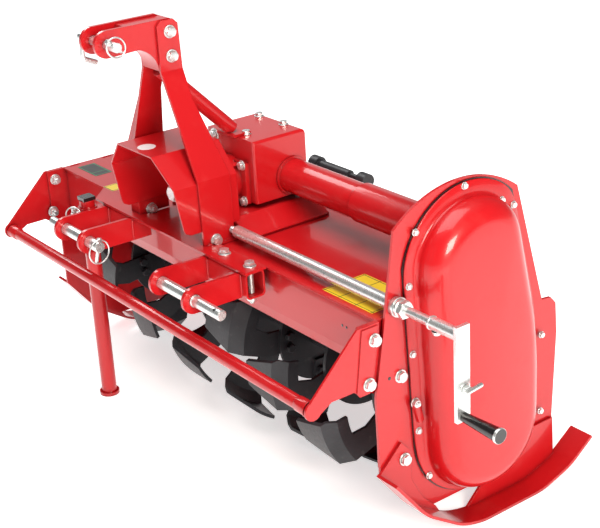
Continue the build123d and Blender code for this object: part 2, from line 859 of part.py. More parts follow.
crank_tube_end = side_in - 2.0
with BuildPart() as crank_tube:
    with BuildSketch(Plane.YZ.offset(arm_face + crank_tube_gap)):
        with Locations((crank_y, crank_z)):
            Circle(crank_tube_radius)
    extrude(amount=crank_tube_end - arm_face - crank_tube_gap)
    with BuildSketch(Plane.YZ.offset(crank_tube_end)):
        with Locations((crank_y, crank_z)):
            Circle(crank_shaft_radius)
    extrude(amount=side_out + crank_shaft_reach - crank_tube_end)
    with BuildSketch(Plane.YZ.offset(side_out + bushing_reach + 1)):
        with Locations((crank_y, crank_z)):
            Circle(crank_collar_radius)
    extrude(amount=crank_collar)
    with BuildSketch(Plane.YZ.offset(arm_face + crank_tube_gap)):
        with Locations((crank_y, crank_z)):
            Circle(screw_radius + slide_play)
    extrude(amount=screw_length + 10, mode=Mode.SUBTRACT)
keep(crank_tube, "crank_tube")

socket_x = side_out + crank_shaft_reach
arm_x = mid_x + crank_arm_x
with BuildPart() as crank_arm:
    with BuildSketch(Plane.YZ.offset(socket_x)):
        with Locations((crank_y, crank_z)):
            Circle(crank_socket_radius)
    extrude(amount=crank_socket)
    with BuildSketch(Plane.YZ.offset(arm_x)):
        with Locations((crank_y, crank_z - (crank_throw - crank_socket_radius) / 2)):
            Rectangle(crank_arm_width, crank_throw + crank_arm_width)
    extrude(amount=crank_arm_thick)
keep(crank_arm, "crank_arm")

with BuildPart() as crank_grip:
    with BuildSketch(Plane.YZ.offset(arm_x + crank_arm_thick)):
        with Locations((crank_y, crank_z - crank_throw)):
            Circle(grip_radius)
    with BuildSketch(Plane.YZ.offset(arm_x + crank_arm_thick + grip_length)):
        with Locations((crank_y, crank_z - crank_throw)):
            Circle(grip_end_radius)
    loft()
keep(crank_grip, "crank_grip")

# ---------------------------------------------------------------- stand leg
socket_radius = leg_radius + slide_play + socket_wall
with BuildPart() as leg_socket:
    with BuildSketch(Plane.XY.offset(socket_low_z)):
        with Locations((leg_x, leg_y)):
            Circle(socket_radius)
            Circle(leg_radius + slide_play, mode=Mode.SUBTRACT)
    extrude(amount=base_z - socket_low_z)
keep(leg_socket, "leg_socket")

with BuildPart() as stand_leg:
    with BuildSketch():
        with Locations((leg_x, leg_y)):
            Circle(foot_radius)
    extrude(amount=foot_thick)
    with BuildSketch(Plane.XY.offset(foot_thick)):
        with Locations((leg_x, leg_y)):
            Circle(leg_radius)
            Circle(leg_radius - leg_wall, mode=Mode.SUBTRACT)
    extrude(amount=leg_top_z - foot_thick)
keep(stand_leg, "stand_leg")

with BuildPart() as leg_cap:
    with BuildSketch(Plane.XY.offset(leg_top_z)):
        with Locations((leg_x, leg_y)):
            Rectangle(2 * cap_half, 2 * cap_half)
    extrude(amount=cap_height)
keep(leg_cap, "leg_cap")


# ---------------------------------------------------------------- skids
def skid_sole():
    """Side view of the shoe, for a sketch."""
    sheet(
        (
            (rotor_y - skid_front_ahead, skid_front_z),
            (rotor_y - skid_knee_ahead, skid_knee_z),
            (rotor_y - skid_toe_ahead, skid_toe_z),
            (rotor_y - skid_flat_ahead, 0),
            (rotor_y + skid_flat_behind, 0),
            (rotor_y + skid_heel_behind, skid_heel_z),
            (rotor_y + skid_tip_behind, skid_tip_z),
        ),
        skid_thick, Side.LEFT, skid_bend,
    )


for name, face, out in (("left", left_out, -1), ("right", side_out, 1)):
    with BuildPart() as skid:
        with BuildSketch(Plane.YZ.offset(face)):
            skid_sole()
        extrude(amount=out * skid_width)
        with BuildSketch(Plane.YZ.offset(face)):
            with BuildLine():
                Polyline(
                    (rotor_y - skid_front_ahead + 3, skid_front_z),
                    (rotor_y - skid_front_ahead + 58, skid_ear_z + 8),
                    (rotor_y - skid_knee_ahead + 8, skid_ear_z - 16),
                    (rotor_y - skid_knee_ahead + 10, 130),
                    (rotor_y - skid_toe_ahead - 56, 78),
                    (rotor_y - skid_toe_ahead - 26, 48),
                    (rotor_y - skid_toe_ahead - 14, skid_toe_z + 14),
                    (rotor_y - skid_knee_ahead + 6, skid_knee_z),
                    close=True,
                )
            make_face()
            with BuildLine():
                Polyline(
                    (rotor_y - skid_flat_ahead, skid_thick / 2),
                    (rotor_y + skid_web_behind, cover_low_z - 6),
                    (rotor_y + skid_web_behind + 46, cover_low_z + 2),
                    (rotor_y + skid_web_behind + 104, cover_low_z + 36),
                    (rotor_y + skid_flat_behind + 18, skid_web_z),
                    (rotor_y + skid_heel_behind - 4, skid_web_z),
                    (rotor_y + skid_heel_behind, skid_heel_z + 4),
                    (rotor_y + skid_flat_behind, skid_thick / 2),
                    close=True,
                )
            make_face()
        extrude(amount=out * skid_thick)
    keep(skid, "skid_" + name)

# ---------------------------------------------------------------- rear board
with BuildPart() as rear_board:
    half = hood_width / 2 - board_play
    board_rear = hinge_y + hinge_tube_radius
    board_front = board_rear - board_thick
    with BuildSketch(Plane.YZ.offset(mid_x)):
        with Locations((hinge_y, hinge_z)):
            Circle(hinge_tube_radius)
        with BuildLine():
            Polyline(
                (board_front, hinge_z),
                (board_rear, hinge_z),
                (board_rear, board_low_z + 80),
                (board_rear + board_kick, board_low_z),
                (board_front + board_kick, board_low_z),
                (board_front, board_low_z + 80),
                close=True,
            )
        make_face()
    extrude(amount=half, both=True)
    with BuildSketch(Plane.YZ.offset(mid_x)):
        with Locations((hinge_y, hinge_z)):
            Circle(hinge_pin_radius)
    extrude(amount=hood_width / 2 + end_thick - 1, both=True)
keep(rear_board, "rear_board")

with BuildPart() as board_catch:
    catch_y = rotor_y + catch_behind
    with BuildSketch(Plane.YZ.offset(shift_x - catch_left)):
        with Locations((catch_y, catch_z)):
            Circle(catch_radius)
    extrude(amount=catch_length)
    with BuildSketch(Plane.YZ.offset(shift_x - catch_left)):
        with Locations((catch_y, catch_z)):
            Circle(catch_rod_radius)
    extrude(amount=catch_length + catch_rod)
    for across in (0, catch_length + catch_rod - catch_eye / 2):
        with BuildSketch(Plane.YZ.offset(shift_x - catch_left + across)):
            with Locations((catch_y, catch_z)):
                Circle(catch_eye_radius)
        extrude(amount=catch_eye)
    for across in (catch_lug_inset, catch_length + catch_rod - catch_lug):
        with BuildSketch(Plane.YZ.offset(shift_x - catch_left + across)):
            with BuildLine():
                Polyline(
                    (catch_y - catch_radius - 4, catch_z),
                    (catch_y + catch_radius + 4, catch_z),
                    (rotor_y + hood_end_behind - 8, hood_end_z + hood_thick),
                    (rotor_y + hood_turn_behind - hood_thick, hood_turn_z - hood_thick),
                    close=True,
                )
            make_face()
        extrude(amount=catch_lug)
    with BuildSketch(Plane.YZ.offset(shift_x - catch_left)) as under:
        sheet(
            (
                (beam_y, hood_z),
                (rotor_y + hood_flat_behind, hood_z),
                (rotor_y + hood_turn_behind, hood_turn_z),
                (rotor_y + hood_end_behind, hood_end_z),
            ),
            2 * hood_thick, Side.RIGHT, hood_bend,
        )
    extrude(amount=catch_length + catch_rod + catch_eye, mode=Mode.SUBTRACT)
keep(board_catch, "board_catch")

# ---------------------------------------------------------------- rotor
hub_left_in = left_in + rotor_play
for name, face, out in (("left", left_out, -1), ("right", right_in, -1)):
    with BuildPart() as hub:
        with BuildSketch(Plane.YZ.offset(face)):
            with Locations((rotor_y, rotor_z)):
                Circle(hub_radius)
                Circle(shaft_radius + slide_play, mode=Mode.SUBTRACT)
        extrude(amount=out * (hub_reach if name == "left" else 8))
    keep(hub, "bearing_hub_" + name)

with BuildPart() as tine:
    with BuildSketch(Plane.XZ):
        with BuildLine():
            skin = Polyline(
                (0, tine_radius - tine_width),
                (0, tine_radius - tine_bend),
                (tine_bend, tine_radius),
                (tine_blade, tine_radius),
            )
            offset(skin, amount=tine_thick, side=Side.RIGHT)
        make_face()
    revolve(axis=Axis((0, 0, 0), (-1, 0, 0)), revolution_arc=tine_arc)
    blade_length = tine_radius * sin(radians(tine_arc))
    with BuildSketch(Plane.XY):
        with BuildLine():
            Polyline(
                (0, 0),
                (tine_blade, 0.3 * blade_length),
                (tine_blade, 0.75 * blade_length),
                (0, blade_length),
                close=True,
            )
        make_face()
    extrude(amount=tine_radius, mode=Mode.INTERSECT)
    with BuildSketch(Plane.YZ):
        with BuildLine():
            Polyline(
                (-tine_width / 2, tine_root),
                (tine_width / 2, tine_root),
                (tine_width / 2 + 6, disc_radius + 25),
                (blade_length / 2, tine_radius - tine_width + 4),
                (0, tine_radius - 25),
                (-tine_width / 2, disc_radius + 25),
                close=True,
            )
        make_face()
    extrude(amount=tine_thick)

with BuildPart() as rotor_shaft:
    tube_half = hood_width / 2 - rotor_play
    with BuildSketch(Plane.YZ.offset(mid_x)):
        with Locations((rotor_y, rotor_z)):
            Circle(rotor_tube_radius)
    extrude(amount=tube_half, both=True)
    with BuildSketch(Plane.YZ.offset(left_out - hub_reach + 4)):
        with Locations((rotor_y, rotor_z)):
            Circle(shaft_radius)
    extrude(amount=side_out - left_out + hub_reach + 16)
keep(rotor_shaft, "rotor_shaft")

with BuildPart() as tine_discs:
    for k in range(disc_count):
        place = mid_x + (k - (disc_count - 1) / 2) * disc_pitch
        with BuildSketch(Plane.YZ.offset(place - disc_thick / 2)):
            with Locations((rotor_y, rotor_z)):
                Circle(disc_radius)
                Circle(rotor_tube_radius, mode=Mode.SUBTRACT)
        extrude(amount=disc_thick)
        for j in range(2 * tines_per_side):
            turn = disc_start + k * disc_twist + j * 180 / tines_per_side
            hand = 1 if j % 2 == 0 else -1
            blade = tine.part if hand > 0 else tine.part.mirror(Plane.YZ)
            with Locations((place + hand * disc_thick / 2, rotor_y, rotor_z)):
                add(blade, rotation=(turn, 0, 0))
keep(tine_discs, "tine_discs")
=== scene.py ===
"""Finishes, fasteners, welds, labels and studio of a side-shift rotary tiller, in metres.

+X points to the chain-case side, -Y to the tractor, +Z up.
"""
import bpy
import bmesh
import json
from math import atan2, cos, pi, radians, sin
from mathutils import Matrix, Vector


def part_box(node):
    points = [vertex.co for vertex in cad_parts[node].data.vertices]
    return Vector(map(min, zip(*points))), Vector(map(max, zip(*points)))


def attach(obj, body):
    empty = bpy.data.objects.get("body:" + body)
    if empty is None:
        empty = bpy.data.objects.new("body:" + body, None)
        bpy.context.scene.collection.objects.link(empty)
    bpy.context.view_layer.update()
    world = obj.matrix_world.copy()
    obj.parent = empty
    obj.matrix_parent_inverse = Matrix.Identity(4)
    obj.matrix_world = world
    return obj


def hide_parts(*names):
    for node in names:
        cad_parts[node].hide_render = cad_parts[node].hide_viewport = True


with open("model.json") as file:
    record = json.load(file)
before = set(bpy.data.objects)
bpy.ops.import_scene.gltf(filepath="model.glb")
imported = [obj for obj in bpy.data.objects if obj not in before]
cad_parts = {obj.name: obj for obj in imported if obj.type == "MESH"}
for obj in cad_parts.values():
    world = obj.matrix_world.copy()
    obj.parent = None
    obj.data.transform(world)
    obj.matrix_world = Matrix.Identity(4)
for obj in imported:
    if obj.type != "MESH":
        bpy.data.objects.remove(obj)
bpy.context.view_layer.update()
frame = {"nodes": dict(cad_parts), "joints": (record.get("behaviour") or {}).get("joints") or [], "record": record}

# ---------------------------------------------------------------- places taken from the frame
joints = {joint["name"]: joint for joint in frame["joints"]}
rotor_axis = Vector(joints["rotor_spin"]["pos_m"])
crank_axis = Vector(joints["crank_turn"]["pos_m"])
shaft_axis = Vector(joints["pto_spin"]["pos_m"])
X, Y, Z = Vector((1, 0, 0)), Vector((0, 1, 0)), Vector((0, 0, 1))
origin = Vector((0, 0, 0))

# ---------------------------------------------------------------- sizes that several pieces share
plate_bolt = 0.012
lid_bolt = 0.010
cover_bolt = 0.0065
cover_flange = 0.004
dome_margin = 0.028
arm_outer_face = {"right": 0.121, "left": 0.141}
sides = ((1, "right"), (-1, "left"))


def on_frame(across, behind, height):
    """A place measured from the hood's middle, the rotor axis and the ground."""
    return Vector((rotor_axis.x + across, rotor_axis.y + behind, height))


def on_carriage(across, behind, height):
    """A place measured from the carriage's middle, the rotor axis and the ground."""
    return Vector((shaft_axis.x + across, rotor_axis.y + behind, height))


def on_face(node, side, place):
    """The place moved along X to a node's low (-1) or high (+1) face."""
    low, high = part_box(node)
    return Vector((high.x if side > 0 else low.x, place.y, place.z))


# ---------------------------------------------------------------- finishes
class Shade:
    """An output socket of a finish. Sums on it add Math nodes."""

    def __init__(self, finish, socket):
        self.finish = finish
        self.socket = socket

    def sum(self, operation, first, second):
        return self.finish.node("Math", {"operation": operation}, {0: first, 1: second})

    def __add__(self, other):
        return self.sum("ADD", self, other)

    def __radd__(self, other):
        return self.sum("ADD", other, self)

    def __sub__(self, other):
        return self.sum("SUBTRACT", self, other)

    def __rsub__(self, other):
        return self.sum("SUBTRACT", other, self)

    def __mul__(self, other):
        return self.sum("MULTIPLY", self, other)

    def __rmul__(self, other):
        return self.sum("MULTIPLY", other, self)


class Finish:
    """A material made of nodes, around one Principled shader."""

    def __init__(self, name, fixed):
        self.material = bpy.data.materials.new(name)
        self.material.use_nodes = True
        self.tree = self.material.node_tree
        self.shader = self.tree.nodes["Principled BSDF"]
        for socket, value in fixed.items():
            self.shader.inputs[socket].default_value = value
        self.place = self.node("TexCoord", {}, {}, "Object")

    def node(self, kind, settings, inputs, output=0):
        """A node of a type, with its settings set first and then its sockets' values or links."""
        made = self.tree.nodes.new("ShaderNode" + kind)
        for name, value in settings.items():
            if name == "stops":
                for element, (position, colour) in zip(made.color_ramp.elements, value):
                    element.position = position
                    element.color = (*colour, 1)
            else:
                setattr(made, name, value)
        for name, value in inputs.items():
            self.feed(made.inputs[name], value)
        return Shade(self, made.outputs[output])

    def feed(self, socket, value):
        if isinstance(value, Shade):
            self.tree.links.new(value.socket, socket)
        elif socket.type == "RGBA" and len(value) == 3:
            socket.default_value = (*value, 1)
        else:
            socket.default_value = value

    def noise(self, size, detail=2.0, stretch=(1, 1, 1)):
        """Noise from 0 to 1 whose lumps are about size across."""
        where = self.node("Mapping", {}, {"Vector": self.place, "Scale": stretch})
        inputs = {"Vector": where, "Scale": 1 / size, "Detail": detail}
        return self.node("TexNoise", {}, inputs)

    def band(self, value, low, high):
        """0 below low, 1 above high, and smooth between."""
        settings = {"interpolation_type": "SMOOTHSTEP"}
        inputs = {"Value": value, "From Min": low, "From Max": high}
        return self.node("MapRange", settings, inputs)

    def mix(self, factor, first, second):
        return self.node("Mix", {"data_type": "RGBA"}, {0: factor, 6: first, 7: second}, 2)

    def unshaded_share(self, reach, low=0.2, high=0.8):
        """Painted shade: 0 in a seam or a corner, where shade is painted dark, and 1 on an open face."""
        open_share = self.node("AmbientOcclusion", {"samples": 6}, {"Distance": reach}, "AO")
        return self.band(open_share, low, high)

    def paint(self, **varying):
        """Links what varies over the surface to the shader: colour, roughness, coat, glow."""
        sockets = {
            "colour": "Base Color",
            "roughness": "Roughness",
            "coat": "Coat Weight",
            "glow": "Emission Color",
        }
        for name, value in varying.items():
            self.feed(self.shader.inputs[sockets[name]], value)

    def relief(self, height, depth, edge=0.0):
        """Bumps of a depth, on edges rounded by a radius."""
        inputs = {"Height": height, "Distance": depth}
        if edge:
            inputs["Normal"] = self.node("Bevel", {"samples": 4}, {"Radius": edge})
        self.feed(self.shader.inputs["Normal"], self.node("Bump", {}, inputs))


def make_red_paint():
    """Glossy powder coat with a faint orange peel, and painted shade in its seams and corners."""
    fixed = {"IOR": 1.5, "Coat Roughness": 0.06, "Coat IOR": 1.5, "Specular IOR Level": 0.3}
    finish = Finish("red_powder_coat", fixed)
    drift = finish.noise(0.18, 3)
    peel = finish.noise(0.0022, 1)
    dust = finish.band(finish.noise(0.05, 6), 0.52, 0.8)
    body_colour = finish.mix(drift, (0.51, 0.007, 0.010), (0.58, 0.009, 0.013))
    dusted = finish.mix(dust * 0.05, body_colour, (0.75, 0.26, 0.22))
    finish.paint(
        # Painted shade: seams and corners are mixed towards a deep red by the occlusion mask.
        colour=finish.mix(finish.unshaded_share(0.022), (0.16, 0.001, 0.003), dusted),
        roughness=0.26 + 0.10 * drift + 0.06 * dust,
        coat=0.55 - 0.25 * dust,
    )
    finish.relief(peel + 0.6 * finish.noise(0.03, 2), 0.00010, 0.0026)
    return finish.material


def make_zinc():
    """Bright zinc plating with a faint blue and straw cast, and painted shade in its deep crevices."""
    finish = Finish("zinc_plating", {"Metallic": 0.8})
    cast = finish.noise(0.012, 3)
    streaks = finish.noise(0.0015, 2, (1, 1, 0.25))
    silver = finish.mix(cast, (0.72, 0.77, 0.79), (0.80, 0.81, 0.78))
    finish.paint(
        # Painted shade: deep crevices are mixed towards near black by the occlusion mask.
        colour=finish.mix(finish.unshaded_share(0.005, 0.05, 0.6), (0.06, 0.07, 0.08), silver),
        roughness=0.18 + 0.14 * streaks + 0.08 * cast,
    )
    finish.relief(streaks, 0.00006, 0.0006)
    return finish.material


def make_black_paint():
    """Satin black paint over forged and rolled steel."""
    fixed = {"IOR": 1.5, "Coat Roughness": 0.25, "Specular IOR Level": 0.35}
    finish = Finish("black_tine_paint", fixed)
    scale_marks = finish.noise(0.006, 4)
    cloud = finish.noise(0.06, 3)
    rub = finish.band(finish.noise(0.02, 8), 0.62, 0.78)
    black = finish.mix(cloud, (0.009, 0.009, 0.011), (0.034, 0.034, 0.040))
    finish.paint(
        colour=finish.mix(rub * 0.3, black, (0.10, 0.095, 0.09)),
        roughness=0.34 + 0.22 * scale_marks,
        coat=0.20 * cloud,
    )
    finish.relief(scale_marks, 0.00035, 0.0012)
    return finish.material


def make_black_plastic():
    """Moulded black plastic with a gloss skin."""
    finish = Finish("black_moulded_plastic", {"IOR": 1.46, "Coat Weight": 0.5, "Coat Roughness": 0.08})
    skin = finish.noise(0.0012, 2)
    wear = finish.noise(0.02, 4)
    finish.paint(
        colour=finish.mix(wear, (0.007, 0.007, 0.008), (0.014, 0.014, 0.015)),
        roughness=0.16 + 0.16 * wear,
    )
    finish.relief(skin, 0.00004, 0.0008)
    return finish.material


red_paint = make_red_paint()
zinc = make_zinc()
black_paint = make_black_paint()
black_plastic = make_black_plastic()
finishes = {
    "red_paint": red_paint,
    "zinc_plated_steel": zinc,
    "black_paint": black_paint,
    "black_plastic": black_plastic,
}


def finish_cad_nodes():
    """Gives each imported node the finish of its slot."""
    for part in frame["record"]["subparts"]:
        slots = frame["nodes"][part["node"]].data.materials
        slots.clear()
        slots.append(finishes[part["material_slot"]])


finish_cad_nodes()


# ---------------------------------------------------------------- mesh helpers
def circle(radius, height, count=24):
    turns = [2 * pi * step / count for step in range(count)]
    return [Vector((radius * cos(turn), radius * sin(turn), height)) for turn in turns]


def hexagon(flat, height, widest=None, count=48):
    """A ring of a hexagon whose flats lie at a distance; corners are cut at the widest radius."""
    ring = []
    for point in circle(1, height, count):
        turn = atan2(point.y, point.x) % (pi / 3) - pi / 6
        radius = flat / cos(turn)
        radius = min(radius, widest) if widest else radius
        ring.append(Vector((point.x * radius, point.y * radius, height)))
    return ring


def skin(bm, rings, closed=False):
    """Joins rings of points in turn, and caps both ends unless the rings close on themselves."""
    rows = [[bm.verts.new(point) for point in ring] for ring in rings]
    pairs = list(zip(rows, rows[1:] + rows[:1])) if closed else list(zip(rows, rows[1:]))
    for low, high in pairs:
        for side in range(len(low)):
            after = (side + 1) % len(low)
            bm.faces.new((low[side], low[after], high[after], high[side]))
    if not closed:
        bm.faces.new(rows[0][::-1])
        bm.faces.new(rows[-1])


def tube_rings(points, radius, count=12, closed=False):
    """Rings of a round bar along points."""
    rings = []
    side = None
    for index, point in enumerate(points):
        before = points[index - 1] if closed or index else point
        after = points[(index + 1) % len(points)] if closed or index + 1 < len(points) else point
        along = (after - before).normalized()
        side = (side or along.orthogonal()).copy()
        side = (side - along * side.dot(along)).normalized()
        up = along.cross(side)
        size = radius(index) if callable(radius) else radius
        ring = []
        for flat in circle(size, 0, count):
            ring.append(point + side * flat.x + up * flat.y)
        rings.append(ring)
    return rings


def aim(place, direction, turn=0.0):
    """Stands a piece made along +Z at a place, pointing in a direction."""
    facing = direction.to_track_quat("Z", "Y").to_matrix().to_4x4()
    return Matrix.Translation(place) @ facing @ Matrix.Rotation(turn, 4, "Z")


def mesh_of(name, bm, finish, sharp=35):
    bmesh.ops.recalc_face_normals(bm, faces=bm.faces)
    mesh = bpy.data.meshes.new(name)
    for face in bm.faces:
        face.smooth = True
    bm.to_mesh(mesh)
    bm.free()
    mesh.set_sharp_from_angle(angle=radians(sharp))
    mesh.materials.append(finish)
    return mesh


def place_piece(name, mesh, body, matrix=None):
    piece = bpy.data.objects.new(name, mesh)
    piece.matrix_world = matrix or Matrix.Identity(4)
    bpy.context.scene.collection.objects.link(piece)
    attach(piece, body)
    return piece


# ---------------------------------------------------------------- fasteners
def thread_rings(radius, low, high, pitch):
    """Rings of a thread, ridge after ridge, with a chamfered end."""
    rings = []
    steps = int((high - low) / (pitch / 2))
    for step in range(steps):
        crest = radius if step % 2 else radius - 0.6 * pitch
        rings.append(circle(crest, low + (high - low) * step / steps))
    rings.append(circle(radius - 0.7 * pitch, high))
    return rings


def washer_rings(size):
    thick, reach = 0.2 * size, 1.1 * size
    return [circle(reach, 0), circle(reach, 0.7 * thick), circle(reach - 0.3 * thick, thick)]


def make_bolt_head(size):
    """Washer and hexagon head of a bolt whose shank has a diameter."""
    bm = bmesh.new()
    flat, seat, top = 0.79 * size, 0.2 * size, 0.85 * size
    skin(bm, washer_rings(size))
    rings = [circle(0.86 * flat, seat, 48), hexagon(flat, seat + 0.04 * size, 1.02 * flat)]
    rings += [hexagon(flat, seat + 0.09 * size), hexagon(flat, top - 0.12 * size)]
    rings += [hexagon(flat, top - 0.03 * size, 1.03 * flat), hexagon(0.9 * flat, top, 0.9 * flat)]
    skin(bm, rings)
    return mesh_of("bolt_head", bm, zinc, 28)


def make_nut(size):
    """Washer, hexagon nut and the threaded end that stands out of it."""
    bm = bmesh.new()
    flat, seat, top = 0.79 * size, 0.2 * size, 1.0 * size
    skin(bm, washer_rings(size))
    rings = [hexagon(0.92 * flat, seat, 0.98 * flat), hexagon(flat, seat + 0.1 * size, 1.12 * flat)]
    rings += [hexagon(flat, top - 0.12 * size), hexagon(flat, top - 0.03 * size, 1.03 * flat)]
    rings += [hexagon(0.9 * flat, top, 0.9 * flat)]
    skin(bm, rings)
    skin(bm, thread_rings(size / 2, top - 0.1 * size, 1.45 * size, 0.14 * size))
    return mesh_of("nut", bm, zinc, 28)


fastener_meshes = {}


def fasten(name, kind, size, body, place, direction, turn=0.3):
    """Puts a bolt head or a nut of a size on a face."""
    makers = {"bolt": make_bolt_head, "nut": make_nut}
    if (kind, size) not in fastener_meshes:
        fastener_meshes[kind, size] = makers[kind](size)
    place_piece(name, fastener_meshes[kind, size], body, aim(place, direction, turn))


def shade_hole(name, radius, body, place, direction):
    """A black disc, sunk a little into its rim, that paints the shade inside a small hole."""
    bm = bmesh.new()
    skin(bm, [circle(radius, -0.001), circle(radius, 0.0004), circle(0.8 * radius, 0.0006)])
    mesh = mesh_of(name, bm, black_plastic)
    place_piece(name, mesh, body, aim(place, direction))


def make_boss(name, body, place, outwards, along, radius, half_length, height):
    """A raised oblong pad with a rounded rim, for a fastener."""
    aside = outwards.cross(along)
    rings = []
    for level, inset in ((0.0, 0.0), (0.6 * height, 0.0005), (0.9 * height, 0.002), (height, 0.004)):
        ring = []
        for point in circle(radius - inset, level, 32):
            end = half_length if point.x > 0 else -half_length
            ring.append(place + along * (point.x + end) + aside * point.y + outwards * point.z)
        rings.append(ring)
    bm = bmesh.new()
    skin(bm, rings)
    place_piece(name, mesh_of(name, bm, red_paint), body)


def fasten_cover():
    """Small bolts round the chain-case cover's flange: behind the rotor axis, height."""
    flange_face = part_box("chain_cover")[0].x + cover_flange
    spots = ((-0.125, 0.625), (-0.007, 0.681), (0.086, 0.629), (0.116, 0.612), (-0.143, 0.527))
    spots += ((-0.138, 0.391), (-0.128, 0.229), (-0.105, 0.123), (0.195, 0.318), (0.195, 0.148))
    for number, (behind, height) in enumerate(spots):
        place = on_frame(0, behind, height)
        place.x = flange_face
        fasten(f"cover_bolt_{number + 1}", "bolt", cover_bolt, "frame", place, X, 0.4 * number)


def fasten_chain_adjuster():
    """The oblong pad on the cover's front edge, with the nut of the chain adjuster."""
    radius, half_length, height, nut_size = 0.0085, 0.018, 0.007, 0.009
    slope = Vector((0, 0.26, -0.966))
    boss = on_frame(0, -0.130, 0.272)
    boss.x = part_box("chain_cover")[0].x + cover_flange
    make_boss("chain_adjuster_boss", "frame", boss, X, slope, radius, half_length, height)
    nut_seat = boss + Vector((0.0, -0.005, 0.019))
    fasten("chain_adjuster_nut", "nut", nut_size, "frame", nut_seat, X, 0.1)


def fasten_ends():
    """Bolts of the brackets, the side plate and the skids, and painted shade in small holes in the plate and the
    beam.
    """
    # level, behind the rotor axis, height
    bracket_spots = {
        "right": (("upper", -0.217, 0.443), ("lower", -0.233, 0.360)),
        "left": (("upper", -0.230, 0.450), ("lower", -0.246, 0.371)),
    }
    for side, name in sides:
        for level, behind, height in bracket_spots[name]:
            place = on_frame(0, behind, height)
            outer = on_face(f"guard_bracket_{name}", side, place)
            inner = on_face(f"end_plate_{name}", -side, place)
            fasten(f"bracket_bolt_{name}_{level}", "bolt", plate_bolt, "frame", outer, X * side)
            fasten(f"bracket_nut_{name}_{level}", "nut", plate_bolt, "frame", inner, -X * side)
    place = on_face("side_plate", 1, on_frame(0, -0.162, 0.353))
    fasten("side_plate_bolt", "bolt", plate_bolt, "frame", place, X)
    # Painted shade: a dark disc in the side plate's small hole.
    place = on_face("side_plate", 1, on_frame(0, -0.188, 0.357))
    shade_hole("side_plate_hole_shade", 0.0034, "frame", place, X)
    ear_thickness = 0.006
    for side, name in sides:
        inner_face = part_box(f"skid_{name}")[0 if side > 0 else 1].x
        place = Vector((inner_face + side * ear_thickness, rotor_axis.y - 0.163, 0.182))
        fasten(f"skid_bolt_{name}", "bolt", plate_bolt, "frame", place, X * side)
    # Painted shade: dark discs in the two small holes of the beam's web.
    web_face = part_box("front_beam")[0].y
    for number, across in enumerate((0.487, 0.499)):
        place = on_frame(across, 0, 0.425)
        place.y = web_face
        shade_hole(f"beam_hole_shade_{number + 1}", 0.0026, "frame", place, -Y)


def fasten_hitch_clamp():
    """The two long bolts that clamp the right hitch tube to the carriage plate."""
    plate_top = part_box("carriage_plate")[1].z
    tube_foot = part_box("hitch_tube_right")[0].z
    behind = -0.231
    bm = bmesh.new()
    skin(bm, thread_rings(plate_bolt / 2, 0, plate_top - tube_foot, 0.0018))
    shank = mesh_of("clamp_bolt_shank", bm, zinc, 28)
    for number, across in enumerate((0.180, 0.268)):
        head = on_carriage(across, behind, plate_top)
        fasten(f"clamp_bolt_{number + 1}", "bolt", plate_bolt, "carriage", head, Z, 0.5)
        foot = on_carriage(across, behind, tube_foot)
        fasten(f"clamp_nut_{number + 1}", "nut", plate_bolt, "carriage", foot, -Z, 0.2)
        stand = Matrix.Translation(foot)
        place_piece(f"clamp_shank_{number + 1}", shank, "carriage", stand)


def fasten_arms():
    """Bolts at the foot and the head of the two mast arms."""
    arm_sheet, head_face = 0.006, 0.037
    foot_behind, foot_height, head_behind = -0.211, 0.485, -0.226
    for side, name in sides:
        face = arm_outer_face[name]
        outside = on_carriage(side * face, foot_behind, foot_height)
        fasten(f"arm_foot_bolt_{name}", "bolt", plate_bolt, "carriage", outside, X * side)
        inside = on_carriage(side * (face - arm_sheet), foot_behind, foot_height)
        fasten(f"arm_foot_nut_{name}", "nut", plate_bolt, "carriage", inside, -X * side)
        for level, height in (("lower", 0.859), ("upper", 0.908)):
            head = on_carriage(side * head_face, head_behind, height)
            fasten(f"arm_head_bolt_{name}_{level}", "bolt", plate_bolt, "carriage", head, X * side, 0.1)


def fasten_gearbox():
    """The oil plug and the bolts of the gearbox's bearing plate and lid."""
    case_front, plate_thickness = -0.081, 0.010
    plug = on_carriage(-0.056, case_front, 0.640)
    fasten("gearbox_plug", "bolt", 0.014, "carriage", plug, -Y, 0.2)
    # across, height
    plate_spots = ((0.056, 0.600), (0.056, 0.520), (-0.056, 0.600), (-0.056, 0.520))
    for number, (across, height) in enumerate(plate_spots):
        corner = on_carriage(across, case_front - plate_thickness, height)
        fasten(f"bearing_plate_bolt_{number + 1}", "bolt", lid_bolt, "carriage", corner, -Y, 0.5)
    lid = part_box("gearbox")[1].z
    # across, behind the rotor axis
    lid_spots = ((0.026, -0.055), (-0.060, -0.055), (0.030, 0.040), (-0.060, 0.040))
    for number, (across, behind) in enumerate(lid_spots):
        place = on_carriage(across, behind, lid)
        fasten(f"gearbox_lid_bolt_{number + 1}", "bolt", lid_bolt, "carriage", place, Z, 0.2)


def shade_lower_pin_hole():
    """The cross hole in the free end of the right lower pin, as a dark disc of painted shade."""
    low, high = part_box("lower_pin_right")
    pin_surface, from_end = 0.0108, 0.016
    slant = Vector((0, -0.5, 0.866))
    middle = Vector((high.x - from_end, (low.y + high.y) / 2, (low.z + high.z) / 2))
    shade_hole("pin_cross_hole_shade", 0.0034, "carriage", middle + slant * pin_surface, slant)


def tine_bolt_rings():
    """Rings of a small painted hexagon head on its collar."""
    rings = [circle(0.011, 0, 18), circle(0.011, 0.0018, 18), hexagon(0.0088, 0.002, 0.0094, 18)]
    rings += [hexagon(0.0090, 0.003, count=18), hexagon(0.0090, 0.008, count=18)]
    rings += [hexagon(0.0080, 0.0092, 0.0084, 18)]
    return rings


